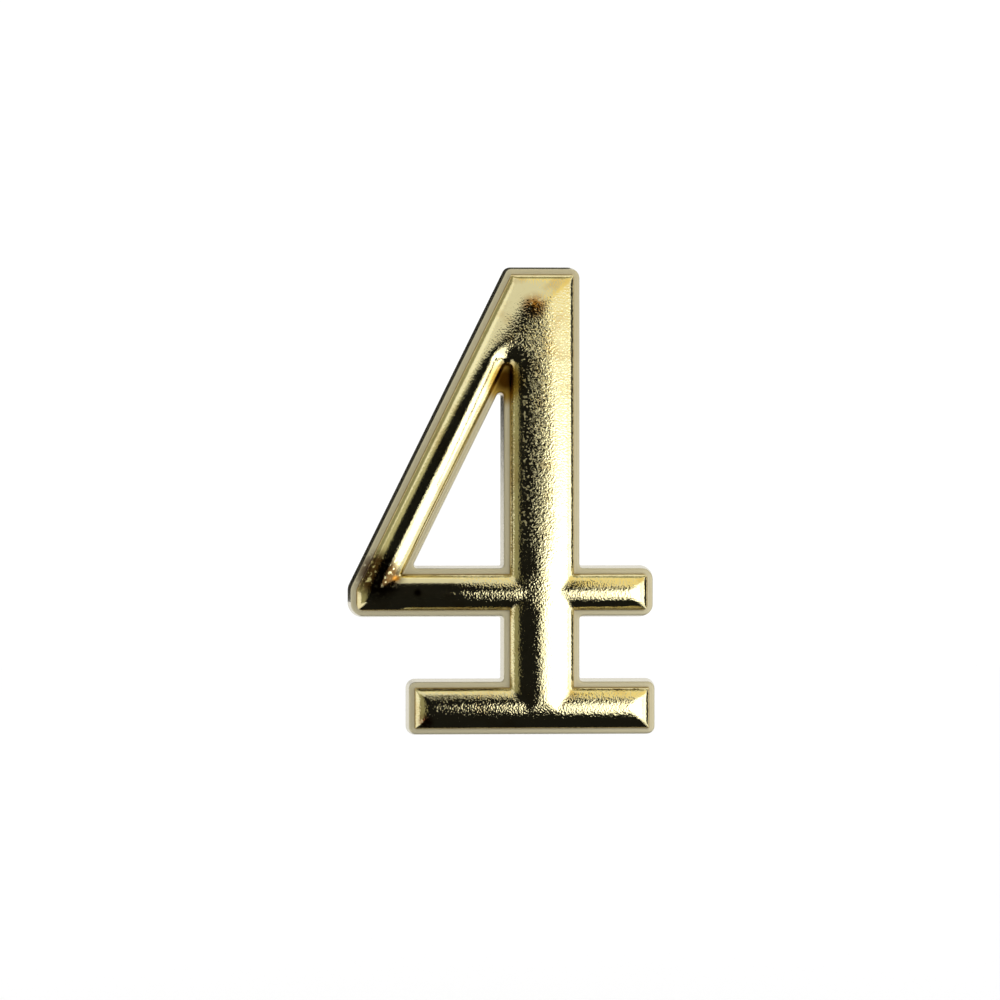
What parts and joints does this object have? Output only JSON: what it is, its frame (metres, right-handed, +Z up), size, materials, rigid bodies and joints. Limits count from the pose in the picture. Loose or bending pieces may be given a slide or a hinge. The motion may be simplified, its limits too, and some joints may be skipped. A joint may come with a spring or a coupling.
{
  "type": "house number",
  "caption": "Stick-on house number, the numeral four with a serif foot: a crowned, mirror-plated gold face with mitred strokes, inside a narrow flat ledge.",
  "frame": {"origin": "on the flat back, on the stem's centreline at half the numeral's height", "axes": "+X to the right as the numeral is read, +Z up the numeral, -Y out of the face, +Y into the wall it is fixed to"},
  "size_m": [0.0329, 0.0045, 0.05],
  "materials": {
    "gold_plating": "polished gold-coloured plating on moulded plastic, with a fine orange-peel grain; satin on the ledge"
  },
  "bodies": {
    "root": {"numeral_four": "gold_plating"}
  },
  "joints": []
}
